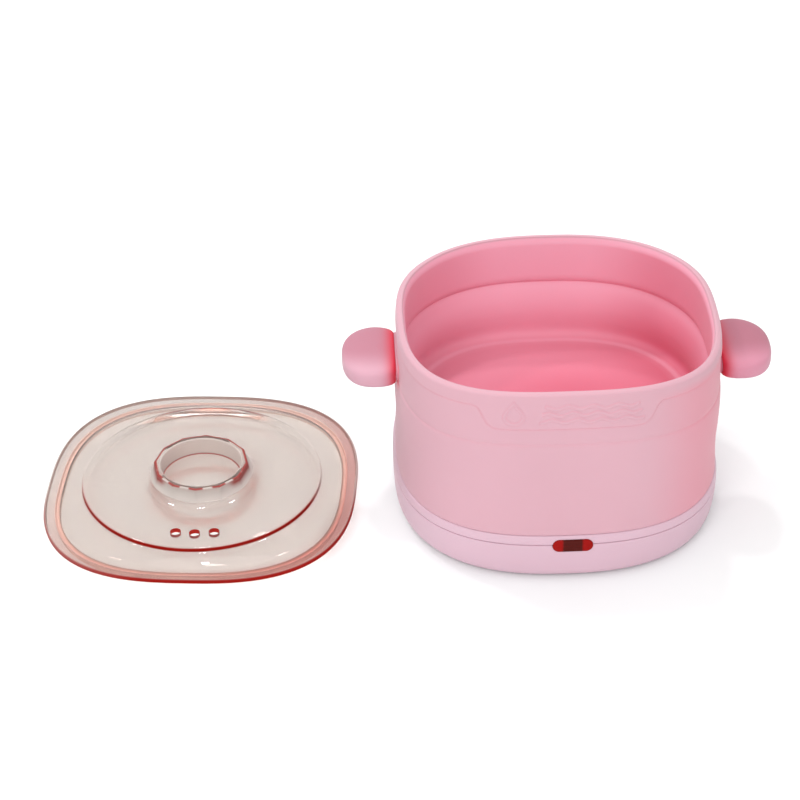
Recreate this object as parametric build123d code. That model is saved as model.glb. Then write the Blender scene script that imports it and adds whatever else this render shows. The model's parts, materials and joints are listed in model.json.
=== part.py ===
"""Wax warmer pot: a folding silicone pot on a flat electric base, with its clear lid lying beside it.

Millimetres, +Z up, -Y is the front (badge and indicator), +X is the right handle.
Origin: centre of the pot's rubber foot ring, on the table.
"""
from build123d import *
import math
import os

# ---- driving dimensions ------------------------------------------------------------------------
RIM_HALF = 75.8          # half the outer width of the pot's wall where the rim part starts
RIM_TOP_HALF = 75.2      # and at the lower edge of the rim band
DEPTH_LOSS = 0.061       # share by which the pot is shallower than wide at its rim
POT_H = 100.0            # top of the rim above the table
# superellipse exponent of the rounded-square plan by height, for the front and the rear corners
FRONT_N = ((0, 2.45), (5, 2.45), (21, 2.62), (27, 2.66), (76, 2.94), (100, 2.98))
REAR_N = ((0, 2.45), (5, 2.45), (21, 2.62), (30, 2.66), (50, 2.5), (76, 2.44), (100, 2.44))
LID_N = 2.7
BASE_HALF = 78.2         # half width of the base ring at its parting line
BASE_Z = 1.6             # underside of the bottom cover
SEAM_Z = 21.0            # parting line between bottom cover and upper shell
SEAM_GAP = 0.4
LIP_Z = 27.0             # top of the base ring's lip
SHELL_T = 2.2
FLOOR_Z = 40.0           # inside floor of the pot
FLOOR_T = 3.5
FOLD_LOW, FOLD_HIGH = 44.0, 76.0     # the part of the wall that folds
SOFT_GAP = 0.3
BAND_Z = 92.8            # lower edge of the rim band
WALL_IN = 71.0           # half width inside the rim
BADGE_X = -0.8
HANDLE_X, HANDLE_Y, HANDLE_Z = 85.5, -1.6, 77.0
HANDLE_RX, HANDLE_RY, HANDLE_T = 15.8, 21.2, 12.0
HANDLE_FLAT = 77.2       # the handle's flat side towards the wall
LENS_W, LENS_H = 18.6, 6.4           # indicator window
LENS_X = 2.0
DIAL_X, DIAL_Z, DIAL_R = 24.0, 12.5, 8.0
SHAFT_R, SHAFT_CLEAR = 3.0, 0.05
INLET_X, INLET_Z = -20.0, 12.5
PIN_PITCH, PIN_R = 8.6, 1.2
LID_POS = (-171.5, 1.0)  # where the lid lies, and how far it is turned
LID_TURN = -4.82
LID_HALF, LID_SKIRT, LID_DISC_R = 75.7, 69.8, 58.2
LID_LOW, LID_T = 3.0, 2.5            # underside of the lid's flange, and its thickness
KNOB_R, KNOB_BORE, KNOB_TOP = 22.4, 19.4, 18.2
VENT_R = 2.6
VENT_AT = ((-7.2, -45.3), (1.9, -45.9), (11.0, -44.7))

SCREW_AT = [(sx * 60, sy * 32) for sx in (-1, 1) for sy in (-1, 1)]
PLATE_AT = [(sx * 35, sy * 35) for sx in (-1, 1) for sy in (-1, 1)]
RING_AT = [(sx * 53, sy * 53) for sx in (-1, 1) for sy in (-1, 1)] + [(-67.5, 0), (67.5, 0)]
BOARD_AT = [(sx * 29.2, y) for sx in (-1, 1) for y in (-62, -34)]


# ---- shapes ------------------------------------------------------------------------------------
def at_height(table, z):
    """Linear interpolation in a table of (height, value)."""
    if z <= table[0][0]:
        return table[0][1]
    for (z0, v0), (z1, v1) in zip(table, table[1:]):
        if z <= z1:
            return v0 + (v1 - v0) * (z - z0) / (z1 - z0)
    return table[-1][1]


def squircle(a, z, n, b=None, cx=0.0, count=40, n_rear=None):
    """A closed superellipse at height z, half width a along X and b along Y.

    n_rear is the exponent on the +Y side, where that differs."""
    b = a if b is None else b
    pts = []
    for i in range(count):
        t = 2 * math.pi * (i + 0.5) / count
        c, s = math.cos(t), math.sin(t)
        m = n
        if n_rear is not None:
            k = max(-1.0, min(1.0, 1.5 * s))
            m = (n + n_rear) / 2 - (n - n_rear) / 2 * k
        r = (abs(c) ** m + abs(s) ** m) ** (-1 / m)
        pts.append((cx + a * r * c, b * r * s, z))
    return Wire([Edge.make_spline([Vector(*p) for p in pts], periodic=True)])


def tower(levels):
    """A solid through the pot's plan outlines, from a list of (height, half width)."""
    rings = []
    for z, a in levels:
        depth = 1 - DEPTH_LOSS * max(0.0, min(1.0, (z - LIP_Z) / (POT_H - LIP_Z)))
        rings.append(squircle(a, z, at_height(FRONT_N, z), a * depth, n_rear=at_height(REAR_N, z)))
    return Solid.make_loft(rings, ruled=True)


def lid_tower(levels):
    """A solid through the lid's plan outlines, from a list of (height, half width)."""
    return Solid.make_loft([squircle(a, z, LID_N) for z, a in levels], ruled=True)


def cyl(r, z0, z1, x=0.0, y=0.0):
    return Pos(x, y, (z0 + z1) / 2) * Cylinder(r, z1 - z0)


def rod_y(r, y0, y1, x=0.0, z=0.0):
    """A cylinder along Y."""
    return Pos(x, (y0 + y1) / 2, z) * Rot(90, 0, 0) * Cylinder(r, y1 - y0)


def block(x0, x1, y0, y1, z0, z1):
    return Pos((x0 + x1) / 2, (y0 + y1) / 2, (z0 + z1) / 2) * Box(x1 - x0, y1 - y0, z1 - z0)


def ring(ro, ri, z0, z1):
    return cyl(ro, z0, z1) - cyl(ri, z0 - 1, z1 + 1)


def pill_y(w, h, y0, y1, x, z):
    """A pill of width w and height h, extruded along Y."""
    body = block(x - w / 2 + h / 2, x + w / 2 - h / 2, y0, y1, z - h / 2, z + h / 2)
    for s in (-1, 1):
        body += rod_y(h / 2, y0, y1, x + s * (w / 2 - h / 2), z)
    return body


def screw(x, y, z_head, z_tip, r, r_head, h_head, up=True):
    """A pan-head screw: the head starts at z_head and the shank runs to z_tip."""
    d = 1 if up else -1
    head = cyl(r_head, *sorted((z_head, z_head + d * h_head)), x, y)
    shank = cyl(r, *sorted((z_head, z_tip)), x, y)
    slot = block(x - r_head * 0.6, x + r_head * 0.6, y - 0.4, y + 0.4, -0.4, 0.4)
    return head + shank - Pos(0, 0, z_head) * slot


def join(items):
    out = items[0]
    for i in items[1:]:
        out += i
    return out


# ---- base --------------------------------------------------------------------------------------
def make_foot_ring():
    return ring(62.0, 54.0, 0.0, BASE_Z + 1.0)


def make_bottom_cover():
    top = SEAM_Z - SEAM_GAP / 2
    body = tower([(BASE_Z, 72.0), (2.2, 74.3), (3.2, 75.8), (5.0, 77.0), (8.0, 77.8), (12.5, 78.25),
                  (17.0, 78.35), (top, BASE_HALF)])
    body -= tower([(3.8, 71.4), (6.0, 74.4), (10.0, 75.8), (14.0, 76.1), (top + 0.5, 76.0)])
    body -= ring(62.05, 53.95, BASE_Z - 1, BASE_Z + 1.0)
    for x, y in SCREW_AT:
        body += cyl(5.0, 3.6, 8.0, x, y)
        body -= cyl(3.3, BASE_Z - 1, 5.0, x, y)
        body -= cyl(1.8, BASE_Z - 1, 9.0, x, y)
    for x, y in BOARD_AT:
        body += cyl(3.0, 3.6, 8.0, x, y)
        body -= cyl(1.25, 5.0, 9.0, x, y)
    # rear: boss for the dial and opening for the mains inlet
    boss = rod_y(7.5, 73.0, 79.0, DIAL_X, DIAL_Z)
    body += boss
    body -= rod_y(4.55, 70.0, 80.0, DIAL_X, DIAL_Z)
    body -= block(INLET_X - 10.6, INLET_X + 10.6, 70, 82, INLET_Z - 6.6, INLET_Z + 6.6)
    body -= pill_y(LENS_W + 0.2, LENS_H + 0.2, -82, -72, LENS_X, SEAM_Z)
    return body


def make_upper_shell():
    low = SEAM_Z + SEAM_GAP / 2
    body = tower([(low, BASE_HALF), (24.4, 78.0), (25.8, 77.75), (26.6, 77.4), (LIP_Z, 76.95)])
    body -= tower([(low - 0.5, 76.0), (22.6, 76.0)])
    body -= tower([(24.8, 76.45), (LIP_Z + 1, 76.45)])
    body += tower([(18.6, 75.7), (22.7, 75.7)]) - tower([(18.0, 74.3), (22.6, 74.3)])
    body -= cyl(46.0, 15, 30)
    for x, y in SCREW_AT:
        body += cyl(4.5, 8.2, 22.7, x, y)
        body -= cyl(1.5, 7.0, 20.0, x, y)
    for x, y in RING_AT:
        body += cyl(3.4, 16.0, 22.7, x, y)
        body -= cyl(1.25, 17.5, 26.0, x, y)
    for x, y in PLATE_AT:
        body += cyl(3.5, 24.6, 32.8, x, y)
        body -= cyl(1.25, 24.0, 34.0, x, y)
    body -= block(LENS_X - 13.5, LENS_X + 13.5, -77.0, -70.0, 16.5, 22.6)
    for x, w in ((DIAL_X, 8.5), (INLET_X, 11.5)):
        body -= block(x - w, x + w, 70.0, 78.0, 16.5, low - 0.1)
    body -= pill_y(LENS_W + 0.2, LENS_H + 0.2, -82, -74, LENS_X, SEAM_Z)
    return body


def make_cover_screws():
    return join([screw(x, y, 2.4, 18.0, 1.48, 3.0, 2.6) for x, y in SCREW_AT])


def make_indicator_lens():
    front = pill_y(LENS_W, LENS_H, -78.7, -75.5, LENS_X, SEAM_Z)
    flange = block(LENS_X - 11.0, LENS_X + 11.0, -75.6, -75.0, SEAM_Z - 3.9, SEAM_Z + 1.4)
    return front + flange


def make_display_module():
    body = block(LENS_X - 4.6, LENS_X + 4.6, -74.4, -69.0, 9.6, 22.2)
    for x in (LENS_X - 7.0, LENS_X + 7.0):
        body += block(x - 1.5, x + 1.5, -73.7, -71.0, 9.6, 21.0)
    return body + block(LENS_X - 9.0, LENS_X + 9.0, -73.3, -69.0, 9.6, 11.5)


def make_control_board():
    body = block(-32, 32, -70.0, -28.0, 8.0, 9.6)
    for x, y in BOARD_AT:
        body -= cyl(1.6, 7, 11, x, y)
    return body


def make_board_screws():
    return join([screw(x, y, 11.0, 5.4, 1.2, 2.4, 1.4, up=False) for x, y in BOARD_AT])


def make_relay():
    return block(6.0, 22.0, -58.0, -46.0, 9.6, 19.6)


def make_capacitor():
    return cyl(5.0, 9.6, 21.0, -14.0, -54.0)


def make_terminal_block():
    x0 = INLET_X
    body = block(x0 - 6.4, x0 + 6.4, -42.0, -32.0, 9.6, 17.4)
    for s in (-1, 1):
        body -= rod_y(1.0, -37.0, -30.0, x0 + s * PIN_PITCH / 2, INLET_Z)
        body -= cyl(1.6, 15.8, 18.0, x0 + s * PIN_PITCH / 2, -37.0)
    return body


def make_inlet_housing():
    body = block(INLET_X - 9, INLET_X + 9, 57.0, 75.0, INLET_Z - 5.2, INLET_Z + 5.2)
    body += block(INLET_X - 10.5, INLET_X + 10.5, 74.9, 79.6, INLET_Z - 6.5, INLET_Z + 6.5)
    socket = block(INLET_X - 4.3, INLET_X + 4.3, 66.5, 80, INLET_Z - 3.7, INLET_Z + 3.7)
    for s in (-1, 1):
        socket += rod_y(4.0, 66.5, 80, INLET_X + s * PIN_PITCH / 2, INLET_Z)
        body -= rod_y(PIN_R, 56, 68, INLET_X + s * PIN_PITCH / 2, INLET_Z)
    return body - socket


def make_inlet_pins():
    return join([rod_y(PIN_R, 56.0, 76.5, INLET_X + s * PIN_PITCH / 2, INLET_Z) for s in (-1, 1)])


def make_inlet_leads():
    return join([rod_y(0.9, -36.8, 55.9, INLET_X + s * PIN_PITCH / 2, INLET_Z) for s in (-1, 1)])


def make_dial_switch():
    body = block(DIAL_X - 8.5, DIAL_X + 8.5, 59.5, 68.5, DIAL_Z - 6.8, DIAL_Z + 7.3)
    body += rod_y(4.5, 68.0, 81.6, DIAL_X, DIAL_Z)
    return body - rod_y(SHAFT_R + SHAFT_CLEAR, 62.0, 83.0, DIAL_X, DIAL_Z)


def make_dial_nut():
    nut = Pos(DIAL_X, 79.9, DIAL_Z) * Rot(90, 0, 0) * extrude(RegularPolygon(6.0, 6), 0.8, both=True)
    return nut - rod_y(4.52, 78, 82, DIAL_X, DIAL_Z)


def make_dial_shaft():
    return rod_y(SHAFT_R, 62.4, 86.0, DIAL_X, DIAL_Z)


def make_temperature_dial():
    body = rod_y(DIAL_R, 79.5, 88.0, DIAL_X, DIAL_Z)
    body -= rod_y(6.8, 79.0, 82.2, DIAL_X, DIAL_Z)
    body -= rod_y(SHAFT_R, 80.0, 86.0, DIAL_X, DIAL_Z)
    for i in range(20):
        t = 2 * math.pi * i / 20
        body -= rod_y(0.55, 79.0, 87.0, DIAL_X + (DIAL_R + 0.15) * math.cos(t),
                      DIAL_Z + (DIAL_R + 0.15) * math.sin(t))
    body += block(DIAL_X - 0.6, DIAL_X + 0.6, 87.9, 88.6, DIAL_Z + 1.0, DIAL_Z + 7.2)
    return body


# ---- heater stack ------------------------------------------------------------------------------
def make_heating_plate():
    plate = tower([(33.0, 65.5), (36.2, 65.5)])
    for x, y in PLATE_AT:
        plate -= cyl(1.5, 32, 37, x, y)
        plate -= Pos(x, y, 35.2) * Cone(1.5, 3.1, 2.1)
    return plate + cyl(2.0, 25.8, 33.2)


def make_plate_screws():
    out = []
    for x, y in PLATE_AT:
        out.append(cyl(1.22, 26.0, 35.0, x, y) + Pos(x, y, 35.15) * Cone(1.45, 2.85, 1.9))
    return join(out)


def make_heater_element():
    return ring(42.0, 22.0, 30.6, 32.95)


def make_heater_clamp():
    return cyl(43.0, 29.4, 30.55) - cyl(2.1, 29, 31)


def make_clamp_nut():
    return Pos(0, 0, 27.6) * extrude(RegularPolygon(4.2, 6), 1.75, both=True) - cyl(2.02, 25, 30)


def make_insulation_pad():
    return ring(43.0, 8.0, 26.2, 29.35)


def make_thermostat():
    body = cyl(7.4, 28.0, 32.95, 0, 52.5)
    for x in (-3.2, 3.2):
        body += block(x - 1.5, x + 1.5, 52.1, 52.9, 25.6, 28.2)
    return body


def make_thermal_fuse():
    body = Pos(0, -51.0, 30.85) * Rot(0, 90, 0) * Cylinder(2.0, 11.0)
    return body + Pos(0, -51.0, 30.85) * Rot(0, 90, 0) * Cylinder(0.5, 24.0)


def make_retaining_ring():
    body = tower([(27.3, 71.6), (29.8, 71.6)]) - tower([(27.0, 63.5), (30.0, 63.5)])
    for x, y in RING_AT:
        body -= cyl(1.45, 26, 31, x, y)
    return body


def make_ring_screws():
    return join([screw(x, y, 31.5, 18.5, 1.22, 2.6, 1.65, up=False) for x, y in RING_AT])


# ---- silicone pot ------------------------------------------------------------------------------
def make_pot_bowl():
    body = tower([(24.95, 76.1), (27.2, 76.1), (27.5, 76.6), (28.3, 77.0), (30.5, 77.1), (34.0, 76.8),
                  (38.0, 76.4), (FOLD_LOW, 76.15)])
    body -= tower([(FLOOR_Z, 68.6), (40.7, 70.0), (41.8, 71.0), (FOLD_LOW + 0.5, 71.6)])
    body -= tower([(27.0, 72.0), (FLOOR_Z - FLOOR_T, 72.0)])
    body -= tower([(24.0, 62.0), (27.1, 62.0)])
    for x, y in RING_AT:
        body -= cyl(1.8, 24, 28, x, y)
    return body


def make_fold_wall():
    z0, z1 = FOLD_LOW + SOFT_GAP, FOLD_HIGH - SOFT_GAP
    body = tower([(z0, 76.15), (50.0, 76.25), (56.0, 76.5), (63.0, 76.65), (69.0, 76.5), (73.0, 76.1),
                  (z1, 75.75)])
    return body - tower([(z0 - 0.01, 71.6), (50.0, 70.7), (56.0, 70.0), (62.0, 70.4), (68.0, 71.9),
                         (72.4, 73.4), (73.2, 72.4), (z1 + 0.01, 71.7)])


def rim_outer():
    return tower([(FOLD_HIGH, RIM_HALF), (BAND_Z, RIM_TOP_HALF), (BAND_Z + 0.4, 75.7), (97.6, 75.3),
                  (99.2, 74.8), (POT_H, 73.9)])


def make_rim_wall():
    body = rim_outer()
    plate = tower([(81.0, 76.1), (BAND_Z + 0.6, 75.7)])
    with_badge = Polyline((BADGE_X - 34.5, 82.3), (BADGE_X + 34.5, 82.3), (BADGE_X + 41.5, BAND_Z + 0.5),
                          (BADGE_X - 41.5, BAND_Z + 0.5), close=True)
    badge = extrude(Plane.XZ.offset(90) * make_face(with_badge), -40)
    body += plate & badge
    body -= tower([(FOLD_HIGH - 0.5, WALL_IN + 0.7), (97.6, WALL_IN), (99.2, WALL_IN + 0.4),
                   (POT_H + 0.01, WALL_IN + 1.2)])
    return body


def make_handle(side):
    levels = [(-1.0, 4.9), (-0.93, 3.1), (-0.74, 1.6), (-0.4, 0.4), (0.0, 0.0), (0.4, 0.4), (0.74, 1.6),
              (0.93, 3.1), (1.0, 4.9)]
    cx = side * HANDLE_X
    body = Solid.make_loft([squircle(HANDLE_RX - d, HANDLE_Z + k * HANDLE_T / 2, 2.4, HANDLE_RY - d, cx)
                            for k, d in levels], ruled=True)
    x0, x1 = sorted((side * 60.0, side * HANDLE_FLAT))
    body -= block(x0, x1, -30.0, 30.0, HANDLE_Z - 10, HANDLE_Z + 10)
    x0, x1 = sorted((side * 73.0, side * 82.0))
    neck = fillet(block(x0, x1, -10.0, 10.0, 76.2, 81.4).edges().filter_by(Axis.X), 2.2)
    body = Pos(0, HANDLE_Y, 0) * (body + neck)
    return body - tower([(70.0, RIM_HALF), (FOLD_HIGH, RIM_HALF), (BAND_Z, RIM_TOP_HALF)])


# ---- lid ---------------------------------------------------------------------------------------
def make_lid():
    top = LID_LOW + LID_T
    disc = top + 4.8
    low = disc - LID_T
    body = lid_tower([(LID_LOW, LID_HALF - 0.5), (LID_LOW + 0.5, LID_HALF), (top - 0.6, LID_HALF),
                  (top, LID_HALF - 0.7)])
    body += lid_tower([(0.0, LID_SKIRT), (LID_LOW + 0.5, LID_SKIRT)])
    body += Solid.make_loft([squircle(LID_SKIRT, top - 0.2, LID_N), squircle(65.0, top + 1.2, 2.45),
                             squircle(LID_DISC_R + 0.8, disc - 2.0, 2.0)], ruled=True)
    body += cyl(LID_DISC_R, top, disc)
    body -= lid_tower([(-1.0, LID_SKIRT - 2.0), (LID_LOW, LID_SKIRT - 2.0)])
    body -= Solid.make_loft([squircle(LID_SKIRT - 2.0, LID_LOW - 0.1, LID_N), squircle(62.4, LID_LOW + 1.2, 2.45),
                             squircle(LID_DISC_R - 2.2, low - 2.0, 2.0)], ruled=True)
    body -= cyl(LID_DISC_R - 2.4, LID_LOW, low)
    # hollow finger ring, twelve flats outside, with a flared foot
    foot = Polyline((0, disc - 0.5), (29.0, disc - 0.5), (29.0, disc + 0.1), (26.4, disc + 0.9),
                    (24.4, disc + 2.2), (22.9, disc + 4.2), (22.0, disc + 6.2), (0, disc + 6.2), close=True)
    body += revolve(Plane.XZ * make_face(foot), Axis.Z)
    knob = Pos(0, 0, disc + 1.5) * extrude(RegularPolygon(KNOB_R + 0.6, 12), KNOB_TOP - disc - 1.5)
    body += chamfer(knob.edges().group_by(Axis.Z)[-1], 0.5)
    body -= cyl(KNOB_BORE, disc - 1.0, KNOB_TOP + 1)
    for x, y in VENT_AT:
        body -= cyl(VENT_R, low - 1, disc + 1, x, y)
    return Pos(*LID_POS, 0) * Rot(0, 0, LID_TURN) * body


PARTS = {
    "foot_ring": make_foot_ring,
    "bottom_cover": make_bottom_cover,
    "upper_shell": make_upper_shell,
    "cover_screws": make_cover_screws,
    "indicator_lens": make_indicator_lens,
    "display_module": make_display_module,
    "control_board": make_control_board,
    "board_screws": make_board_screws,
    "relay": make_relay,
    "capacitor": make_capacitor,
    "terminal_block": make_terminal_block,
    "inlet_housing": make_inlet_housing,
    "inlet_pins": make_inlet_pins,
    "inlet_leads": make_inlet_leads,
    "dial_switch": make_dial_switch,
    "dial_nut": make_dial_nut,
    "dial_shaft": make_dial_shaft,
    "temperature_dial": make_temperature_dial,
    "heating_plate": make_heating_plate,
    "plate_screws": make_plate_screws,
    "heater_element": make_heater_element,
    "heater_clamp": make_heater_clamp,
    "clamp_nut": make_clamp_nut,
    "insulation_pad": make_insulation_pad,
    "thermostat": make_thermostat,
    "thermal_fuse": make_thermal_fuse,
    "retaining_ring": make_retaining_ring,
    "ring_screws": make_ring_screws,
    "pot_bowl": make_pot_bowl,
    "fold_wall": make_fold_wall,
    "rim_wall": make_rim_wall,
    "left_handle": lambda: make_handle(-1),
    "right_handle": lambda: make_handle(1),
    "lid": make_lid,
}

os.makedirs("parts", exist_ok=True)
for name, make in PARTS.items():
    shape = make()
    shape.label = name
    export_step(shape, f"parts/{name}.step")
    print(f"{name}: {len(shape.solids())} solids, {shape.volume / 1000:.2f} cm3")
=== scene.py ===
"""Looks for the wax warmer pot: folding silicone pot, electric base, clear lid on the table."""

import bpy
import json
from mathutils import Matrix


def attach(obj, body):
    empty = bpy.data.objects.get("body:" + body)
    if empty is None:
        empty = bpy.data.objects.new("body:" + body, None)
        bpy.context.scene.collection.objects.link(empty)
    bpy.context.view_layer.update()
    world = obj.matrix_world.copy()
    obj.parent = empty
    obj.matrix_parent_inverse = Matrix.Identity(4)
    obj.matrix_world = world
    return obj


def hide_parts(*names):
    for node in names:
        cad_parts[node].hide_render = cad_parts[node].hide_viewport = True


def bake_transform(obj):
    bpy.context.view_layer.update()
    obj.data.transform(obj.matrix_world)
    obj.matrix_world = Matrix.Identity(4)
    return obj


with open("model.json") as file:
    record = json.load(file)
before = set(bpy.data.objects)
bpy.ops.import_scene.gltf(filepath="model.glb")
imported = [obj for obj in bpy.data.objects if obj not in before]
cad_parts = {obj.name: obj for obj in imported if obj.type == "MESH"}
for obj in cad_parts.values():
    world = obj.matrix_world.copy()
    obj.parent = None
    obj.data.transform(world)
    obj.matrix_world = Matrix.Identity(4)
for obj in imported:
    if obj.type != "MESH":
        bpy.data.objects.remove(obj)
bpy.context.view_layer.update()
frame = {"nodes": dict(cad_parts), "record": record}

import json
import math

import bmesh
import bpy
import numpy as np
from mathutils import Matrix, Vector

MM = 0.001
scene = bpy.context.scene


# ---- shader helpers ------------------------------------------------------------------------------
def new_material(name, **settings):
    """A material with its node tree and its Principled node, whose inputs take the settings."""
    m = bpy.data.materials.new(name)
    m.use_nodes = True
    p = m.node_tree.nodes["Principled BSDF"]
    for key, value in settings.items():
        p.inputs[key.replace("_", " ")].default_value = value
    return m, m.node_tree, p


def noise(nt, scale, detail=2.0):
    """Noise in the object's own coordinates."""
    n = nt.nodes.new("ShaderNodeTexNoise")
    n.inputs["Scale"].default_value = scale
    n.inputs["Detail"].default_value = detail
    nt.links.new(nt.nodes.new("ShaderNodeTexCoord").outputs["Object"], n.inputs["Vector"])
    return n.outputs["Fac"]


def between(nt, low, high, share):
    """A value that goes from low to high with share."""
    n = nt.nodes.new("ShaderNodeMapRange")
    n.inputs["To Min"].default_value = low
    n.inputs["To Max"].default_value = high
    nt.links.new(share, n.inputs["Value"])
    return n.outputs["Result"]


def mixed_by_attribute(nt, under, tone, key):
    """A colour, a tuple or a socket, turned towards tone by the mesh's own attribute key."""
    tag = nt.nodes.new("ShaderNodeAttribute")
    tag.attribute_name = key
    mix = nt.nodes.new("ShaderNodeMix")
    mix.data_type = "RGBA"
    factor, first, second = mix.inputs[0], mix.inputs[6], mix.inputs[7]
    second.default_value = (*tone, 1)
    nt.links.new(tag.outputs["Fac"], factor)
    if isinstance(under, tuple):
        first.default_value = (*under, 1)
    else:
        nt.links.new(under, first)
    return mix.outputs[2]


def pass_light(nt, shader, tint):
    """Lets lamps shine through a surface, with a tint, so that it casts only a faint shadow."""
    see = nt.nodes.new("ShaderNodeBsdfTransparent")
    see.inputs["Color"].default_value = (*tint, 1)
    both = nt.nodes.new("ShaderNodeMixShader")
    nt.links.new(nt.nodes.new("ShaderNodeLightPath").outputs["Is Shadow Ray"], both.inputs[0])
    nt.links.new(shader.outputs[0], both.inputs[1])
    nt.links.new(see.outputs[0], both.inputs[2])
    nt.links.new(both.outputs[0], nt.nodes["Material Output"].inputs["Surface"])


def material(name, base, rough=0.5, spread=0.03, grain=(900.0, 0.04), mottle=60.0, rough_spread=0.05,
             metallic=0.0, sheen=0.0, coat=0.0, ior=1.45, subsurface=0.0, deep=None, pale=None, shadow=None):
    """An opaque material with mottled colour, uneven roughness and a fine grain in its normals.

    spread is how far the colour strays from base, mottle the scale of that, and grain the fine grain's
    scale and strength. deep is a deeper colour, by the mesh's own 'deep' attribute, which on the silicone is
    painted shade in hollows and crevices, and pale is a lighter one, by its 'pale' attribute, which on the
    silicone is painted light. shadow is the tint of the light that passes through."""
    m, nt, p = new_material(name, Metallic=metallic, IOR=ior, Sheen_Weight=sheen, Sheen_Roughness=0.45,
                            Coat_Weight=coat, Coat_Roughness=0.12)
    if subsurface:
        p.inputs["Subsurface Weight"].default_value = subsurface
        p.inputs["Subsurface Radius"].default_value = (4.0 * MM, 1.6 * MM, 1.6 * MM)
        p.inputs["Subsurface Scale"].default_value = 1.0
    cloud = noise(nt, mottle, detail=4.0)
    ramp = nt.nodes.new("ShaderNodeValToRGB")
    dull, bright = ramp.color_ramp.elements
    dull.position, bright.position = 0.3, 0.7
    dull.color = (*[c * (1 - spread) for c in base], 1)
    bright.color = (*[min(1, c * (1 + spread)) for c in base], 1)
    nt.links.new(cloud, ramp.inputs["Fac"])
    colour = ramp.outputs["Color"]
    for key, tone in (("pale", pale), ("deep", deep)):
        if tone:
            colour = mixed_by_attribute(nt, colour, tone, key)
    nt.links.new(colour, p.inputs["Base Color"])
    uneven = between(nt, max(0.02, rough - rough_spread), min(1.0, rough + rough_spread), cloud)
    nt.links.new(uneven, p.inputs["Roughness"])
    grain_scale, grain_strength = grain
    bump = nt.nodes.new("ShaderNodeBump")
    bump.inputs["Strength"].default_value = grain_strength
    bump.inputs["Distance"].default_value = 0.4 * MM
    nt.links.new(noise(nt, grain_scale, detail=3.0), bump.inputs["Height"])
    nt.links.new(bump.outputs["Normal"], p.inputs["Normal"])
    if shadow:
        pass_light(nt, p, shadow)
    return m


def clear_plastic(name, tint, edge, absorbed, density, shadow, rough=0.015, ior=1.25):
    """Clear plastic: absorption inside, and a deeper stain, edge, where the mesh is tagged 'deep'."""
    m, nt, p = new_material(name, Transmission_Weight=1.0, IOR=ior, Coat_Weight=0.9, Coat_Roughness=0.02)
    nt.links.new(between(nt, rough * 0.6, rough * 1.6, noise(nt, 25.0)), p.inputs["Roughness"])
    nt.links.new(mixed_by_attribute(nt, tint, edge, "deep"), p.inputs["Base Color"])
    pass_light(nt, p, shadow)
    inside = nt.nodes.new("ShaderNodeVolumeAbsorption")
    inside.inputs["Color"].default_value = (*absorbed, 1)
    inside.inputs["Density"].default_value = density
    nt.links.new(inside.outputs[0], nt.nodes["Material Output"].inputs["Volume"])
    return m


# ---- materials -----------------------------------------------------------------------------------
# soft matt silicone: outside, inside, and the two handles; the inside and the handles are copies of it whose
# base colours carry painted light and shade
SILICONE = dict(rough=0.62, spread=0.02, grain=(1400.0, 0.10), mottle=18.0, sheen=0.10, subsurface=0.08)
# the handles' deep colour is painted crevice shade where they meet the wall
EAR_SILICONE = {**SILICONE, "rough": 0.6, "deep": (0.62, 0.015, 0.045)}
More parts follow.
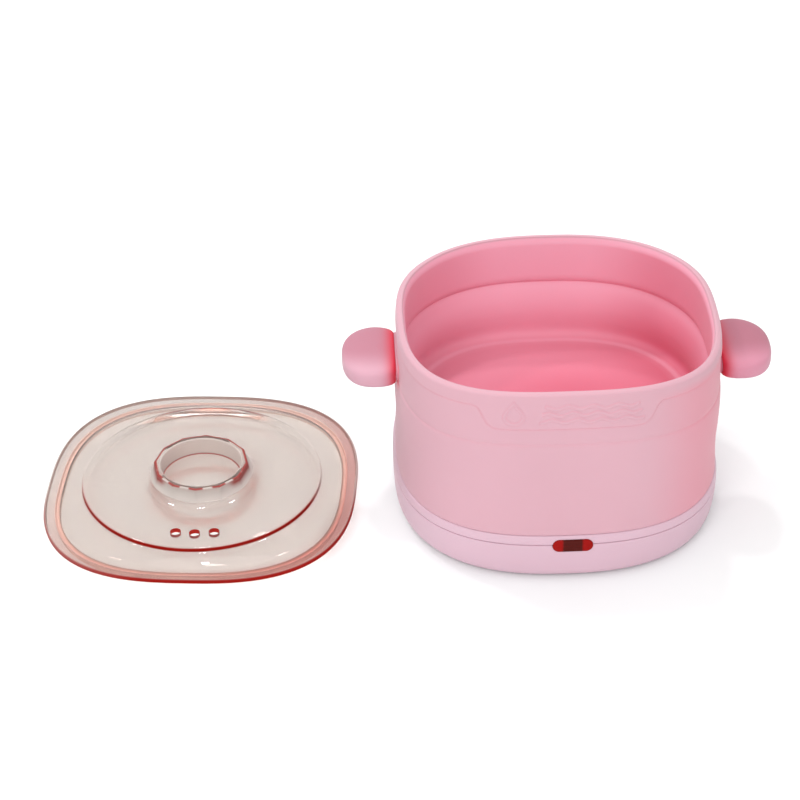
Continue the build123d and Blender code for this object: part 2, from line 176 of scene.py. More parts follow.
# the lid's narrow side faces, which look solid
LID_SHADOW = (0.97, 0.95, 0.94)
LID_FACE = dict(grain=(60.0, 0.02), mottle=40.0, rough_spread=0.03, shadow=LID_SHADOW)
MAT = {
    # outside: deep is painted crevice shade, a saturated red, and pale is the inside's lighter colour,
    # painted light
    "pink_silicone": material("pink_silicone", (0.607, 0.342, 0.402), deep=(0.90, 0.09, 0.155),
                              pale=(0.86, 0.45, 0.56), **SILICONE),
    # inside: a lighter copy of the silicone, painted light, turned by painted shade towards deep
    "inner_silicone": material("inner_silicone", (0.86, 0.45, 0.56), deep=(0.58, 0.04, 0.10), **SILICONE),
    # handle bases darker than the silicone, painted shade on their tops, the right one darker still, painted
    # shade of its shaded side; pale is painted light in front and below
    "left_ear_silicone": material("left_ear_silicone", (0.475, 0.19, 0.25), pale=(0.61, 0.335, 0.41),
                                  **EAR_SILICONE),
    "right_ear_silicone": material("right_ear_silicone", (0.42, 0.145, 0.20), pale=(0.60, 0.245, 0.33),
                                   **EAR_SILICONE),
    "pink_shell": material("pink_shell", (0.625, 0.415, 0.492), 0.42, 0.015, (1600.0, 0.06), 25.0,
                           subsurface=0.05),
    "dial_white": material("dial_white", (0.63, 0.42, 0.50), 0.38, 0.02),
    "red_lens": material("red_lens", (0.30, 0.004, 0.003), 0.25, 0.05, (500.0, 0.02), 150.0, 0.04,
                         ior=1.18, deep=(0.075, 0.006, 0.004)),
    "clear_lid": clear_plastic("clear_lid", tint=(0.60, 0.545, 0.52), edge=(0.45, 0.03, 0.02),
                               absorbed=(0.93, 0.62, 0.52), density=5.0, shadow=LID_SHADOW),
    "lid_edge": material("lid_edge", (0.53, 0.47, 0.435), 0.3, 0.05, ior=1.12,
                         deep=(0.27, 0.008, 0.005), pale=(0.88, 0.67, 0.60), **LID_FACE),
    "lid_hole": material("lid_hole", (0.38, 0.016, 0.010), 0.2, 0.10, ior=1.2, **LID_FACE),
    "black_plastic": material("black_plastic", (0.025, 0.025, 0.028), 0.45, 0.15),
    "black_rubber": material("black_rubber", (0.03, 0.03, 0.03), 0.8, 0.2, (700.0, 0.4)),
    "circuit_board": material("circuit_board", (0.03, 0.16, 0.07), 0.35, 0.25, coat=0.5),
    "relay_case": material("relay_case", (0.04, 0.10, 0.30), 0.4, 0.1),
    "capacitor_sleeve": material("capacitor_sleeve", (0.06, 0.06, 0.10), 0.35, 0.1),
    "terminal_green": material("terminal_green", (0.05, 0.28, 0.10), 0.45, 0.1),
    "brass_pins": material("brass_pins", (0.78, 0.64, 0.38), 0.25, 0.08, metallic=1.0),
    "lead_sleeve": material("lead_sleeve", (0.45, 0.04, 0.04), 0.55, 0.1),
    "aluminium": material("aluminium", (0.80, 0.81, 0.82), 0.35, 0.05, (300.0, 0.2), metallic=1.0),
    "mica": material("mica", (0.48, 0.38, 0.24), 0.5, 0.3),
    "steel_sheet": material("steel_sheet", (0.60, 0.60, 0.60), 0.38, 0.08, metallic=1.0),
    "steel": material("steel", (0.66, 0.66, 0.68), 0.3, 0.08, metallic=1.0),
    "insulation": material("insulation", (0.80, 0.78, 0.72), 0.95, 0.15, (500.0, 0.8), sheen=0.4),
    "ceramic_body": material("ceramic_body", (0.12, 0.09, 0.07), 0.5, 0.15),
    "fuse_metal": material("fuse_metal", (0.72, 0.72, 0.72), 0.3, 0.08, metallic=1.0),
}
for sub in frame["record"]["subparts"]:
    data = frame["nodes"][sub["node"]].data
    data.materials.clear()
    data.materials.append(MAT[sub["material_slot"]])


# ---- mesh helpers --------------------------------------------------------------------------------
# All lengths below are in millimetres, in the CAD frame: X to the right, Y to the rear, Z up.
def around(count):
    """count equal steps round a circle, as angles."""
    return np.linspace(0, 2 * math.pi, count, endpoint=False)


def squircle_r(t, a, n):
    """Radius of a superellipse of half width a and exponent n at angles t."""
    return a * (np.abs(np.cos(t)) ** n + np.abs(np.sin(t)) ** n) ** (-1.0 / n)


def smooth01(x):
    """0 below 0, 1 above 1, and a soft step between."""
    x = np.clip(x, 0.0, 1.0)
    return x * x * (3 - 2 * x)


def curve_through(points, step):
    """Catmull-Rom samples through rows of numbers, about step apart in the first two columns."""
    p = np.array(points, float)
    if len(p) == 2:
        count = max(1, int(math.ceil(np.linalg.norm(p[1, :2] - p[0, :2]) / step)))
        return p[0] + (p[1] - p[0]) * (np.arange(count + 1) / count)[:, None]
    e = np.vstack([2 * p[0] - p[1], p, 2 * p[-1] - p[-2]])
    out = []
    for i in range(1, len(e) - 2):
        a, b, c, d = e[i - 1:i + 3]
        count = max(1, int(math.ceil(np.linalg.norm(c[:2] - b[:2]) / step)))
        # knots that grow by the root of each chord, so that the curve makes no loops
        knots = [0.0]
        for p0, p1 in ((a, b), (b, c), (c, d)):
            knots.append(knots[-1] + (np.linalg.norm(p1[:2] - p0[:2]) + 1e-9) ** 0.5)
        t0, t1, t2, t3 = knots
        for j in range(count):
            t = t1 + (t2 - t1) * j / count
            a1 = (t1 - t) / (t1 - t0) * a + (t - t0) / (t1 - t0) * b
            a2 = (t2 - t) / (t2 - t1) * b + (t - t1) / (t2 - t1) * c
            a3 = (t3 - t) / (t3 - t2) * c + (t - t2) / (t3 - t2) * d
            b1 = (t2 - t) / (t2 - t0) * a1 + (t - t0) / (t2 - t0) * a2
            b2 = (t3 - t) / (t3 - t1) * a2 + (t - t1) / (t3 - t1) * a3
            out.append((t2 - t) / (t2 - t1) * b1 + (t - t1) / (t2 - t1) * b2)
    out.append(p[-1])
    return np.array(out)


def profile(*runs, step=1.5):
    """Joins runs of (z, half width); each run is smooth, and runs meet in a corner.

    A run is a list of points, or such a list with a step of its own."""
    rows = []
    for run in runs:
        pts, s = (run, step) if isinstance(run, list) else run
        got = curve_through(pts, s)
        rows.append(got if not rows else got[1:])
    return np.vstack(rows)


def skin(name, rings, mat, closed=False, caps=(False, False), deep=None, pale=None, smooth=True):
    """A mesh through rings of points. closed joins the last ring to the first; caps closes an end at its
    middle. deep and pale give each point's share of those colours; without pale, deep's negative values stand
    for it."""
    rings = [np.asarray(r, float) for r in rings]
    count, m = len(rings), len(rings[0])
    verts = np.vstack(rings)
    faces = []
    idx = np.arange(m)
    nxt = (idx + 1) % m
    for i in range(count if closed else count - 1):
        a, b = i * m, ((i + 1) % count) * m
        faces += np.stack([a + idx, a + nxt, b + nxt, b + idx], 1).tolist()
    extra = []
    for end, row in ((0, 0), (1, count - 1)):
        if caps[end]:
            extra.append(rings[row].mean(0))
            c = len(verts) + len(extra) - 1
            base = row * m
            for k in range(m):
                near, far = base + k, base + nxt[k]
                faces.append([c, far, near] if end == 0 else [c, near, far])
    if extra:
        verts = np.vstack([verts, extra])
    me = bpy.data.meshes.new(name)
    me.from_pydata((verts * MM).tolist(), [], faces)
    me.update()
    if deep is not None and pale is None:
        pale = -np.asarray(deep, float)
    for key, share in (("deep", deep), ("pale", pale)):
        values = np.zeros(len(verts))
        if share is not None:
            values[:count * m] = np.clip(np.asarray(share, float).reshape(-1), 0, 1)
        me.attributes.new(key, "FLOAT", "POINT").data.foreach_set("value", values.astype(np.float32))
    ob = bpy.data.objects.new(name, me)
    scene.collection.objects.link(ob)
    me.materials.append(mat)
    bm = bmesh.new()
    bm.from_mesh(me)
    bmesh.ops.recalc_face_normals(bm, faces=bm.faces)
    bm.to_mesh(me)
    bm.free()
    if smooth:
        me.polygons.foreach_set("use_smooth", [True] * len(me.polygons))
    return ob


def deepen_last_cap(ob, share):
    """Sets the 'deep' share of the point in the middle of a skin's last cap."""
    ob.data.attributes["deep"].data[len(ob.data.vertices) - 1].value = share


def cut(ob, *cutters, operation="DIFFERENCE"):
    """Takes closed cutters away from ob, or adds them to it, and removes them."""
    for c in cutters:
        mod = ob.modifiers.new("cut", "BOOLEAN")
        mod.operation = operation
        mod.solver = "EXACT"
        mod.object = c
        mod.material_mode = "TRANSFER"
        bpy.context.view_layer.objects.active = ob
        bpy.ops.object.modifier_apply(modifier=mod.name)
        bpy.data.objects.remove(c)


def sharpen(ob, degrees=35.0):
    """Shades smooth apart from edges sharper than this."""
    ob.data.polygons.foreach_set("use_smooth", [True] * len(ob.data.polygons))
    ob.data.set_sharp_from_angle(angle=math.radians(degrees))


def stadium(w, h, count=24, along=24):
    """Points round a pill of width w and height h, in two columns."""
    t = np.linspace(-math.pi / 2, math.pi / 2, count)
    right = np.stack([(w - h) / 2 + np.cos(t) * h / 2, np.sin(t) * h / 2], 1)
    top = np.linspace((w - h) / 2, (h - w) / 2, along + 1, endpoint=False)[1:]
    half = np.vstack([right, np.stack([top, np.full(along, h / 2)], 1)])
    return np.vstack([half, -half])


def upright(points, x, y, z):
    """A ring of points across Y, from an outline in X and Z whose middle is at x, z."""
    return np.stack([x + points[:, 0], np.full(len(points), y), z + points[:, 1]], 1)


def disc(t, r):
    """Points at angles t on a circle, in two columns."""
    return np.stack([r * np.cos(t), r * np.sin(t)], 1)


def rod_cutter(name, r, p0, p1, mat, count=48):
    """A closed cylinder from p0 to p1."""
    p0, p1 = np.array(p0, float), np.array(p1, float)
    w = (p1 - p0) / np.linalg.norm(p1 - p0)
    u = np.cross(w, (0.0, 0.0, 1.0) if abs(w[2]) < 0.9 else (1.0, 0.0, 0.0))
    u /= np.linalg.norm(u)
    v = np.cross(w, u)
    t = around(count)[:, None]
    ringed = r * (np.cos(t) * u + np.sin(t) * v)
    return skin(name, [p0 + ringed, p1 + ringed], mat, caps=(True, True), smooth=False)


def plate_cutter(name, x, z, w, h, y0, y1, r, mat):
    """A closed rounded rectangle from y0 to y1."""
    t = around(32)
    px = np.sign(np.cos(t)) * (w / 2 - r) + r * np.cos(t)
    pz = np.sign(np.sin(t)) * (h / 2 - r) + r * np.sin(t)
    outline = np.stack([px, pz], 1)
    return skin(name, [upright(outline, x, y, z) for y in (y0, y1)], mat, caps=(True, True), smooth=False)


# ---- silicone pot --------------------------------------------------------------------------------
# (height, exponent of the plan's superellipse), in front and at the rear
FRONT_N = ((0, 2.45), (5, 2.45), (21, 2.62), (27, 2.66), (76, 2.94), (100, 2.98))
REAR_N = ((0, 2.45), (5, 2.45), (21, 2.62), (30, 2.66), (50, 2.5), (76, 2.44), (100, 2.44))
# how much the pot loses from front to back, between its lower lip and its top
DEPTH_LOSS, LIP_Z, POT_H = 0.061, 27.0, 100.0


def plan(t, z, a):
    """X and Y round the pot's plan outline of half width a at height z, for angles t."""
    front, rear = np.interp(z, *np.transpose(FRONT_N)), np.interp(z, *np.transpose(REAR_N))
    n = (front + rear) / 2 - (front - rear) / 2 * np.clip(1.5 * np.sin(t), -1, 1)
    r = squircle_r(t, a, n)
    depth = 1 - DEPTH_LOSS * np.clip((z - LIP_Z) / (POT_H - LIP_Z), 0, 1)
    return r * np.cos(t), depth * r * np.sin(t)


def loop(t, z, a, lift=0.0):
    """Points round the plan outline, moved outwards by lift."""
    x, y = plan(t, z, a)
    k = 1 + lift / np.hypot(x, y)
    return np.stack([x * k, y * k, np.full_like(x, z)], 1)


outer = profile(
    [(25.1, 75.6), (25.6, 75.9)],
    ([(25.6, 75.9), (25.66, 76.35), (25.85, 76.58), (26.4, 76.66), (27.6, 76.6), (30.0, 76.5)], 0.45),
    [(30.0, 76.5), (34.0, 76.3), (38.0, 76.1), (44.3, 76.0), (50.0, 76.15), (56.0, 76.4), (63.0, 76.5),
     (69.0, 76.4), (72.6, 76.15)],
    ([(72.6, 76.15), (73.6, 75.95), (74.2, 75.7), (74.9, 75.72), (75.6, 75.8)], 0.3),
    [(75.6, 75.8), (78.0, 75.72), (81.2, 75.6)],
    ([(81.2, 75.6), (92.8, 75.2), (97.4, 74.8)], 0.36),
    ([(97.4, 74.8), (98.6, 74.6), (99.3, 74.25), (99.75, 73.75), (99.97, 73.2), (100.0, 72.8), (99.8, 72.1),
      (99.2, 71.5), (98.4, 71.15), (97.6, 71.0)], 0.3))
inner = profile(
    [(97.6, 71.0), (90.0, 71.2), (82.0, 71.45), (76.5, 71.6)],
    ([(76.5, 71.6), (74.8, 71.9), (73.5, 72.45), (72.8, 73.1), (72.3, 73.4), (71.7, 73.2)], 0.4),
    [(71.7, 73.2), (68.0, 71.9), (62.0, 70.4), (56.0, 70.0), (50.0, 70.7), (46.0, 71.4), (43.8, 71.5),
     (42.2, 71.1), (41.1, 70.3), (40.4, 69.1), (40.05, 67.5), (40.0, 65.0)],
    ([(40.0, 65.0), (40.0, 30.0), (40.0, 3.0)], 3.0))
under = profile([(36.5, 3.0), (36.5, 71.9)], [(36.5, 71.9), (27.1, 71.9)], [(27.1, 71.9), (27.1, 62.3)],
                [(27.1, 62.3), (25.05, 62.3)], [(25.05, 62.3), (25.1, 75.6)], step=8.0)
pot_rows = np.vstack([under[:-1], outer, inner[1:]])
# the rows where the outside of the wall and the inside begin
WALL = len(under) - 1
INSIDE = WALL + len(outer)

# lower edge of the raised band, which dips round the badge, as (distance from the badge's middle, height)
BADGE_X, BAND_Z = -0.8, 93.0
dip = curve_through([(0.0, 82.3), (20.0, 82.3), (31.0, 82.3), (34.0, 82.7), (36.2, 84.2), (37.8, 86.8),
                     (39.4, 90.0), (40.9, 92.2), (43.0, BAND_Z), (47.0, BAND_Z), (120.0, BAND_Z)], 0.7)


# the band and the badge's motif stand proud by RELIEF; both are above RELIEF_Z
RELIEF, RELIEF_Z = 0.5, 81.0


def above_edge(x, z):
    """Signed distance of points of the wall above the raised band's lower edge."""
    ax = np.abs(x - BADGE_X)
    gap = np.hypot(ax[:, None] - dip[None, :, 0], z - dip[None, :, 1]).min(1)
    return np.where(z > np.interp(ax, dip[:, 0], dip[:, 1]), gap, -gap)


def emblem(x, z):
    """A plain raised motif on the badge: a drop and three wavy bars."""
    half_line, soft = 1.15, 0.7
    line = np.zeros_like(x)
    for k, z0 in enumerate((86.6, 90.0, 93.4)):
        off = np.abs(z - (z0 + 0.8 * np.sin((x + 2.0 * k) * 2 * math.pi / 11.0)))
        ends = smooth01((x + 14.5 - 1.2 * k) / 0.8) * smooth01((33.0 - 1.2 * k - x) / 0.8)
        line = np.maximum(line, smooth01((half_line - off) / soft) * ends)
    dx, dz = x + 25.5, z - 89.3
    pull = np.clip(dz / 7.0, 0, 1)
    rim = np.abs(np.hypot(dx, dz) - 4.2 * (1.0 + 0.55 * pull) + np.abs(dx) * pull * 1.1)
    return np.maximum(line, smooth01((half_line - rim) / soft))


def outside_painted_shade(x, y, z, line, badge):
    """How much painted shade the wall's outside takes; line is the distance from the raised band's edge."""
    tone = np.zeros_like(x)
    # painted shade along the raised band's lower edge and on the slopes of the badge's motif
    if z > RELIEF_Z:
        tone = 0.13 * np.exp(-(line / 0.55) ** 2) + 0.10 * badge * (1 - badge) * 4
    # painted shade on the fold line, in the crevices beside the handles and over the right side
    fold_line_shade = 0.03 * math.exp(-((z - 74.0) / 0.8) ** 2)
    at_height = smooth01((z - 69.5) / 3.0) * smooth01((84.5 - z) / 3.0)
    handle_crevice_shade = smooth01((20.5 - np.abs(y + 1.6)) / 5.0) * at_height * (np.abs(x) > 70)
    right_side_shade = smooth01((x - 32.0) / 38.0) * smooth01((98.0 - z) / 5.0)
    return tone + fold_line_shade + 0.6 * handle_crevice_shade + 0.26 * right_side_shade


# painted shade inside, by height, in the middle and towards the sides
INSIDE_Z = (40.3, 43.0, 55.0, 66.0, 71.5, 72.3, 73.5, 77.0, 95.5, 97.6)
INSIDE_MIDDLE_SHADE = (0.42, 0.28, 0.14, 0.08, 0.0, 0.22, 0.13, 0.06, 0.03, 0.0)
INSIDE_SIDES_SHADE = (0.55, 0.50, 0.42, 0.32, 0.22, 0.50, 0.45, 0.40, 0.36, 0.0)
# on the floor the same two, the painted shade its middle adds, and a painted highlight, a lighter line, where
# it starts to curve up
FLOOR_SHADE, FLOOR_MIDDLE_SHADE, FLOOR_HIGHLIGHT = (0.48, 0.58), 0.22, (64.5, 67.0, 69.2)


def inside_painted_shade(x, z, a):
    """How much painted shade the inside takes, at height z and half width a."""
    middle, sides = (np.interp(z, INSIDE_Z, t) for t in (INSIDE_MIDDLE_SHADE, INSIDE_SIDES_SHADE))
    if z < INSIDE_Z[0]:
        more = FLOOR_MIDDLE_SHADE * (1 - smooth01((a - 18.0) / 34.0))
        middle, sides = (np.interp(a, FLOOR_HIGHLIGHT, (t, 0.15, t)) + more for t in FLOOR_SHADE)
    tone = middle + (sides - middle) * smooth01((np.abs(x) - 18.0) / 42.0)
    # painted shade: the right side is deeper than the left, most of all in the lower wall
    right_shade_lean = 0.22 + 0.35 * smooth01((70.0 - z) / 6.0) * smooth01((z - 40.5) / 4.0)
    return tone * (1 + right_shade_lean * x / 70.0)


# fine steps in front, where the badge is, and coarser ones elsewhere
steps = np.concatenate([np.arange(-42, 42, 0.4), np.arange(42, 318, 1.5)])
theta = np.radians(steps) - math.pi / 2
# the last rows of the outside, which are the inner half of the lip
LIP_ROWS = 7
rings, deep = [], []
for i, (z, a) in enumerate(pot_rows):
    x, y = plan(theta, z, a)
    front = y < -20
    lift, tone = np.zeros_like(x), np.zeros_like(x)
    if WALL <= i < INSIDE:
        line, badge = np.zeros_like(x), np.zeros_like(x)
        if z > RELIEF_Z:
            line = np.where(front, above_edge(x, z), z - BAND_Z)
            badge = np.where(front, emblem(x, z), 0.0)
            band = smooth01(line / 0.6 + 0.5) * (1 - smooth01((z - 99.0) / 1.2))
            lift = RELIEF * band + RELIEF * badge
        tone = outside_painted_shade(x, y, z, line, badge)
        if i >= INSIDE - LIP_ROWS:
            # the lip turns to the inside's lighter colour, which is painted light
            tone = tone - smooth01((71.7 - a) / 0.65)
    elif i >= INSIDE:
        tone = inside_painted_shade(x, z, a)
    rings.append(loop(theta, z, a, lift))
    deep.append(tone)
pot = skin("silicone_pot", rings, MAT["pink_silicone"], caps=(True, True), deep=np.array(deep))
# the floor's middle takes painted shade
deepen_last_cap(pot, FLOOR_SHADE[0] + FLOOR_MIDDLE_SHADE)
# the faces of the inside, and of the last cap, which is the floor's middle; the first cap is underneath
pot.data.materials.append(MAT["inner_silicone"])
inside_face, first_cap, last_cap = (row * len(theta) for row in (INSIDE - 1, len(rings) - 1, len(rings)))
for face in pot.data.polygons:
    face.material_index = int(inside_face <= face.index < first_cap or face.index >= last_cap)
sharpen(pot, 60)
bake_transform(pot)
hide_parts("pot_bowl", "fold_wall", "rim_wall")

# the two ear handles: thick soft pads with a flat side towards the wall, each on a short neck
EAR_X, EAR_Z, EAR_RX, EAR_RY, EAR_T, EAR_FLAT, EAR_CROWN = 85.5, 77.0, 15.8, 21.2, 12.0, 76.0, 0.54
NECK_Z = 77.1
# (distance from the pot's middle, half width, half height)
NECK = ((74.0, 17.6, 5.2), (75.8, 17.4, 5.1), (76.6, 17.0, 4.9), (78.6, 16.0, 4.2), (82.0, 12.0, 3.0))
phi = around(180)
for side, name, ear_y in ((-1, "left_handle", -0.4), (1, "right_handle", -2.9)):
    rings, deep, pale = [], [], []
    for k in np.linspace(-math.pi / 2, math.pi / 2, 47)[1:-1]:
        size, height = math.cos(k) ** EAR_CROWN, math.copysign(abs(math.sin(k)) ** EAR_CROWN, k)
        r = squircle_r(phi, 1.0, 2.4 - 0.35 * np.clip(np.sin(phi), 0, 1))
        x = EAR_X + EAR_RX * size * r * np.cos(phi)
        # the flat side, with a small soft edge
        flat = EAR_FLAT + 1.3 * (1 - size)
        x = flat + 0.9 * np.logaddexp(0.0, (x - flat) / 0.9)
        y = EAR_RY * size * r * np.sin(phi)
        y = y * (1 - 0.03 * smooth01((flat + 2.5 - x) / 2.5))
        rings.append(np.stack([side * x, ear_y + y, np.full_like(x, EAR_Z + EAR_T / 2 * height)], 1))
        # painted crevice shade, deep, at the wall, and painted light, pale, in front and below
        deep.append(np.exp(-((x - EAR_FLAT) / 4.2) ** 2))
        pale.append(smooth01((-0.6 * y / EAR_RY - 0.5 * height + 0.44) / 0.6))
    mat = MAT[name.split("_")[0] + "_ear_silicone"]
    ear = skin(name + "_ear", rings, mat, caps=(True, True), deep=deep, pale=pale)
    neck_rings = []
    for x, hy, hz in NECK:
        r = squircle_r(phi, 1.0, 3.0)
        neck_rings.append(np.stack([np.full_like(phi, side * x), ear_y + hy * r * np.cos(phi),
                                    NECK_Z + hz * r * np.sin(phi)], 1))
    # the neck is painted crevice shade all over
    neck = skin(name + "_neck", neck_rings, mat, caps=(True, True), deep=np.ones((len(NECK), len(phi))))
    cut(ear, neck, operation="UNION")
    sharpen(ear, 50)
    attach(ear, "rim")
    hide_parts(name)

# ---- base ----------------------------------------------------------------------------------------
ring_t = around(640)
lower = profile(
    [(1.5, 4.0), (1.5, 70.0)],
    ([(1.5, 70.0), (1.5, 72.0), (1.7, 73.6), (2.2, 74.9), (3.2, 76.1), (5.0, 77.0), (8.0, 77.5), (12.5, 77.8),
      (17.0, 77.85), (20.3, 77.75), (20.65, 77.6), (20.8, 77.3)], 0.6),
    [(20.8, 77.3), (20.8, 76.2)],
    [(20.8, 76.2), (14.0, 75.9), (8.0, 74.6), (5.0, 72.6), (3.8, 69.0), (3.8, 4.0)], step=6.0)
lower_shell = skin("base_lower_shell", [loop(ring_t, z, a) for z, a in lower], MAT["pink_shell"],
                   caps=(True, True))
upper = profile(
    ([(21.1, 77.3), (21.25, 77.6), (21.6, 77.7), (23.6, 77.5), (24.8, 77.25), (25.35, 76.95), (25.62, 76.5),
      (25.6, 76.2), (25.45, 75.9)], 0.35),
    [(25.45, 75.9), (24.8, 75.8)], [(24.8, 75.8), (24.8, 46.0)], [(24.8, 46.0), (22.6, 46.0)],
    [(22.6, 46.0), (22.6, 76.2)], [(22.6, 76.2), (21.1, 76.2)], [(21.1, 76.2), (21.1, 77.3)], step=8.0)
upper_shell = skin("base_upper_shell", [loop(ring_t, z, a) for z, a in upper[:-1]], MAT["pink_shell"],
                   closed=True)

# X and Z of the middles of the window in front, and of the mains inlet and the dial behind
LENS, LENS_W, LENS_H = (2.0, 20.6), 18.6, 6.4
INLET, DIAL = (-20.0, 12.5), (24.0, 12.5)
DIAL_BORE = 4.6
COVER_SCREWS = ((-60, -32), (-60, 32), (60, -32), (60, 32))


def pill_rings(w, h, levels, x, z):
    """Upright pills of width w and height h, at (y, inset) for each of levels."""
    return [upright(stadium(w - 2 * inset, h - 2 * inset), x, y, z) for y, inset in levels]


def window_cutter():
    """The window's opening, a little wider than the window."""
    play = 0.3
    return skin("cut_window", pill_rings(LENS_W + play, LENS_H + play, [(-83, 0), (-70, 0)], *LENS),
                MAT["pink_shell"], caps=(True, True), smooth=False)


# (y, radius) round the boss that the dial's shaft comes out of
BOSS_LEVELS = ((73.0, 7.5), (78.5, 7.5), (78.85, 7.35), (79.0, 7.0), (79.0, DIAL_BORE), (73.0, DIAL_BORE))
boss_t = around(96)
boss = skin("dial_boss", [upright(disc(boss_t, r), DIAL[0], y, DIAL[1]) for y, r in BOSS_LEVELS],
            MAT["pink_shell"], closed=True)
cut(lower_shell, window_cutter(),
    plate_cutter("cut_inlet", *INLET, 21.2, 13.2, 70, 84, 1.2, MAT["pink_shell"]),
    rod_cutter("cut_dial", DIAL_BORE, (DIAL[0], 68, DIAL[1]), (DIAL[0], 84, DIAL[1]), MAT["pink_shell"]),
    *[rod_cutter(f"cut_screw_{i}", 3.3, (x, y, 0), (x, y, 3.2), MAT["pink_shell"])
      for i, (x, y) in enumerate(COVER_SCREWS)])
cut(upper_shell, window_cutter())
for ob in (lower_shell, upper_shell, boss):
    sharpen(ob, 40)
    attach(ob, "base")
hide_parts("bottom_cover")
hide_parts("upper_shell")

# indicator window: a domed pill, darker over the lamp block behind it
LENS_LEVELS = [(-75.6, 0.0), (-77.9, 0.0), (-78.1, 0.12), (-78.25, 0.4), (-78.32, 1.0), (-78.35, 2.0),
               (-78.36, 2.7), (-78.36, 3.15)]
LAMP_BLOCK = 5.0
lens_rings = pill_rings(LENS_W, LENS_H, LENS_LEVELS, *LENS)
dark = np.array([smooth01((LAMP_BLOCK - np.abs(r[:, 0] - LENS[0])) / 0.9) for r in lens_rings])
lens = skin("indicator_window", lens_rings, MAT["red_lens"], caps=(True, True), deep=dark)
deepen_last_cap(lens, 1.0)
sharpen(lens, 50)
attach(lens, "base")
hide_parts("indicator_lens")

# ---- rear dial -----------------------------------------------------------------------------------
FLUTES, FLUTE_DEPTH = 24, 0.28
# (y, radius, how much of the flutes shows)
DIAL_LEVELS = ((82.2, 3.2, 0), (82.2, 6.7, 0), (79.6, 6.9, 0), (79.5, 7.3, 0), (79.6, 7.7, 0.5),
               (80.4, 8.0, 1), (86.6, 8.0, 1), (87.4, 7.8, 0.8), (87.9, 7.3, 0.3), (88.0, 6.6, 0),
               (88.0, 5.6, 0), (87.7, 5.0, 0), (87.7, 0.6, 0))
dial_t = around(240)
groove = FLUTE_DEPTH * (0.5 + 0.5 * np.cos(dial_t * FLUTES)) ** 2
dial = skin("dial_cap", [upright(disc(dial_t, r - flute * groove), DIAL[0], y, DIAL[1])
                         for y, r, flute in DIAL_LEVELS], MAT["dial_white"], caps=(True, True))
sharpen(dial, 40)
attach(dial, "dial")
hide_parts("temperature_dial")
# a raised bar between the dial's middle and its edge
MARK_UP = 3.6
mark = skin("dial_mark", [upright(stadium(w, h)[:, ::-1], DIAL[0], y, DIAL[1] + MARK_UP)
                          for y, w, h in ((87.6, 6.2, 1.1), (88.35, 6.2, 1.1), (88.45, 5.9, 0.8))],
            MAT["black_plastic"], caps=(True, True))
sharpen(mark)
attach(mark, "dial")

# ---- lid -----------------------------------------------------------------------------------------
lid_t = around(480)
FACETS = 12
FACET = 2 * math.pi / FACETS


def knob_r(r, share):
    """A circle of radius r, drawn by share towards a twelve-sided outline."""
    t = (lid_t + FACET / 2) % FACET - FACET / 2
    poly = r * math.cos(FACET / 2) / np.cos(FACET / 2 - np.abs(t))
    return r * (1 - share) + poly * share * 1.03


# where a stained edge shows: all round, mostly towards the front, at the back, or at the two sides
sideways, nearer = np.cos(lid_t), -np.sin(lid_t)
ALL = np.ones_like(lid_t)
FRONTAL = smooth01((nearer + 0.05) / 0.45)
BACK = smooth01((-nearer - 0.84) / 0.12)
STEP = np.clip(FRONTAL + 0.9 * BACK, 0, 1)
EDGE = np.clip(0.08 + 0.3 * sideways + FRONTAL, 0.08, 1)
SIDES = 0.25 + 0.75 * smooth01((np.abs(sideways) - 0.6) / 0.2)
PEACH = 0.08 + 0.60 * np.clip(sideways, 0, 1) + 0.28 * np.clip(nearer, 0, 1)
# the knob's red top edge, broken at the corners in front
CORNERS = smooth01((np.cos(FACETS * lid_t) + 0.55) / 0.5)
DASHES = 1 - smooth01((nearer - 0.25) / 0.3) * (1 - CORNERS)
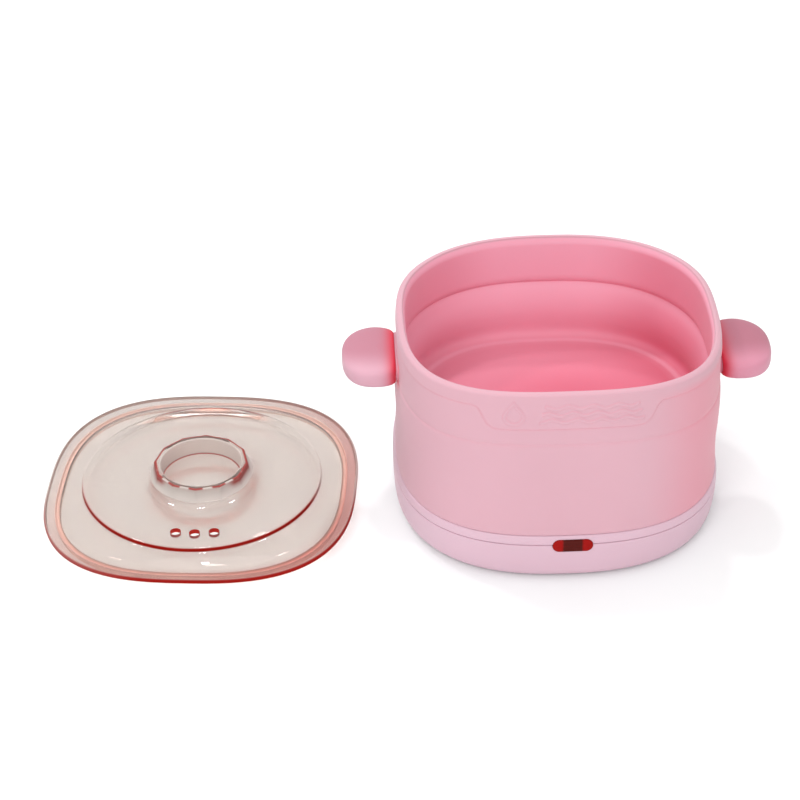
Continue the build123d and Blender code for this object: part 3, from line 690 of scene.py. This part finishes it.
# Groups of clear or stained faces, each with rows of height, half width, exponent or minus the share of
# the facets, stain and where it is. A stain is red above 0 and pale below 0. The rows go from the middle of
# the finger cup's floor up its wall, over its top, down its outside, across the raised disc and the flange,
# round the rim, and back along the underside.
LID = (
    ("clear", [(9.3, 2.0, 2.0, 0, ALL), (9.3, 18.6, 2.0, 0, ALL)]),
    ("mixed_by_attribute", [(9.32, 18.9, 2.0, 0.8, ALL), (9.5, 19.25, 2.0, 0.75, ALL), (10.0, 19.4, 2.0, -0.25, ALL),
                 (17.4, 19.5, 2.0, -0.25, ALL), (17.9, 19.7, 2.0, -0.1, ALL)]),
    ("clear", [(18.15, 20.1, 2.0, 0, ALL), (18.17, 20.9, -0.8, 0, ALL)]),
    ("mixed_by_attribute", [(18.15, 21.3, -0.85, 0.85, DASHES), (18.0, 22.1, -0.95, 0.9, DASHES),
                 (17.5, 22.45, -1.0, 0.8, SIDES), (16.2, 22.55, -1.0, 0.85, SIDES ** 3),
                 (14.9, 22.9, -0.9, 0.35, SIDES ** 4), (13.4, 23.8, -0.5, 0, ALL)]),
    ("clear", [(12.3, 24.9, -0.2, 0, ALL), (11.2, 26.5, 2.0, 0, ALL), (10.6, 28.2, 2.0, 0, ALL),
               (10.35, 30.0, 2.0, 0, ALL), (10.3, 33.0, 2.0, 0, ALL), (10.3, 56.4, 2.0, 0, ALL),
               (10.3, 57.2, 2.0, 0.8, BACK)]),
    ("mixed_by_attribute", [(10.22, 58.0, 2.0, 0.7, STEP), (10.0, 58.25, 2.0, 1.0, STEP), (8.7, 58.4, 2.0, 1.0, STEP)]),
    ("clear", [(8.45, 58.7, 2.0, 0.2, STEP), (8.3, 59.4, 2.02, 0.0, ALL), (7.9, 61.6, 2.2, 0, ALL),
               (7.0, 64.6, 2.42, 0, ALL), (6.2, 67.2, 2.6, 0, ALL), (5.7, 69.2, 2.68, 0.3, PEACH),
               (5.5, 70.6, 2.7, 1.0, PEACH), (5.5, 71.5, 2.7, 1.0, PEACH), (5.5, 74.4, 2.7, 1.0, PEACH)]),
    ("mixed_by_attribute", [(5.46, 74.8, 2.7, 0.4, EDGE), (5.35, 75.15, 2.7, 0.8, EDGE), (5.1, 75.5, 2.7, 1.0, EDGE),
                 (4.3, 75.7, 2.7, 1.0, EDGE), (3.5, 75.6, 2.7, 1.0, EDGE), (3.1, 75.1, 2.7, 1.0, EDGE)]),
    ("clear", [(3.0, 74.3, 2.7, 0.0, ALL)]),
    ("mixed_by_attribute", [(3.0, 70.5, 2.7, -1, ALL), (2.8, 70.0, 2.7, -1, ALL), (0.6, 69.8, 2.7, -1, ALL),
                 (0.1, 69.6, 2.7, -1, ALL), (0.0, 69.0, 2.7, -1, ALL), (0.1, 68.4, 2.7, -1, ALL),
                 (0.6, 68.0, 2.7, -1, ALL)]),
    ("clear", [(2.6, 67.8, 2.7, 0, ALL), (3.4, 66.7, 2.65, 0, ALL), (4.3, 64.0, 2.5, 0, ALL),
               (5.2, 61.0, 2.2, 0, ALL), (5.8, 58.4, 2.05, 0, ALL), (6.6, 55.4, 2.0, 0, ALL),
               (7.25, 52.2, 2.0, 0, ALL), (7.65, 48.5, 2.0, 0, ALL), (7.8, 44.0, 2.0, 0, ALL),
               (7.8, 30.0, 2.0, 0, ALL), (7.8, 15.0, 2.0, 0, ALL), (7.8, 2.0, 2.0, 0, ALL)]))
VENTS, VENT_R = ((-7.2, -45.3), (1.9, -45.9), (11.0, -44.7)), 2.6
LID_AT, LID_TURN = (-171.5 * MM, 1.0 * MM, 0), math.radians(-4.82)

rings, deep, kinds = [], [], []
for kind, rows in LID:
    for z, a, n, stain, where in rows:
        r = squircle_r(lid_t, a, n) if n > 0 else knob_r(a, -n)
        rings.append(np.stack([r * np.cos(lid_t), r * np.sin(lid_t), np.full_like(r, z)], 1))
        deep.append(stain * where)
        kinds.append(kind)
lid = skin("clear_lid", rings, MAT["clear_lid"], caps=(True, True), deep=np.array(deep))
lid.data.materials.append(MAT["lid_edge"])
for face in lid.data.polygons[:(len(rings) - 1) * len(lid_t)]:
    face.material_index = int(kinds[face.index // len(lid_t)] == "mixed_by_attribute")
cut(lid, *[rod_cutter(f"cut_vent_{i}", VENT_R, (x, y, 6.0), (x, y, 12.0), MAT["lid_hole"], 40)
           for i, (x, y) in enumerate(VENTS)])
sharpen(lid, 42)
lid.data.transform(Matrix.Translation(LID_AT) @ Matrix.Rotation(LID_TURN, 4, "Z"))
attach(lid, "lid")
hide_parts("lid")

# ---- stage, light and camera ---------------------------------------------------------------------
# from here on, lengths are in metres
table_me = bpy.data.meshes.new("table")
table_me.from_pydata([(-6, -3, 0), (6, -3, 0), (6, 9, 0), (-6, 9, 0)], [], [(0, 1, 2, 3)])
table_me.materials.append(material("table", (0.93, 0.97, 0.965), 0.75, 0.004, (40.0, 0.0), 3.0, 0.02))
table = bpy.data.objects.new("table", table_me)
scene.collection.objects.link(table)

world = bpy.data.worlds.new("studio")
world.use_nodes = True
world.node_tree.nodes["Background"].inputs["Color"].default_value = (1.0, 1.0, 1.0, 1)
world.node_tree.nodes["Background"].inputs["Strength"].default_value = 0.80
scene.world = world


def softbox(name, at, aim, size, watts):
    """A rectangular area lamp that points at aim."""
    data = bpy.data.lights.new(name, "AREA")
    data.shape = "RECTANGLE"
    data.size, data.size_y = size
    data.energy = watts
    ob = bpy.data.objects.new(name, data)
    ob.location = at
    ob.rotation_euler = (Vector(aim) - Vector(at)).to_track_quat("-Z", "Y").to_euler()
    scene.collection.objects.link(ob)


softbox("top", (-0.1, 0.1, 1.3), (-0.05, 0.0, 0.0), (1.2, 1.0), 1.5)
softbox("key", (-0.38, -1.33, 1.15), (0.0, 0.0, 0.05), (0.9, 0.9), 12.0)
# small lamps behind, whose reflections are the bright spots on the clear lid
for n, at in enumerate(((-0.514, 0.344, 0.872), (-0.215, 0.244, 0.958), (0.039, 0.390, 0.883))):
    softbox(f"spot_{n}", at, (-0.17, 0.0, 0.0), (0.065, 0.065), 1.1)

# the camera, fitted to the photo's outlines: its place, its turn, tilt down and roll in degrees, and its
# focal length in millimetres
CAM_AT = (-0.09960, -0.89289, 0.66483)
CAM_TURN, CAM_DOWN, CAM_ROLL, CAM_LENS = -1.636, 34.475, -0.947, 101.763
cam_data = bpy.data.cameras.new("camera")
cam_data.sensor_width = 36.0
cam_data.lens = CAM_LENS
cam = bpy.data.objects.new("camera", cam_data)
cam.matrix_world = (Matrix.Translation(CAM_AT)
                    @ Matrix.Rotation(math.radians(CAM_TURN), 4, "Z")
                    @ Matrix.Rotation(math.radians(90.0 - CAM_DOWN), 4, "X")
                    @ Matrix.Rotation(math.radians(CAM_ROLL), 4, "Z"))
scene.collection.objects.link(cam)
scene.camera = cam
scene.view_settings.view_transform = "Standard"
scene.view_settings.look = "None"
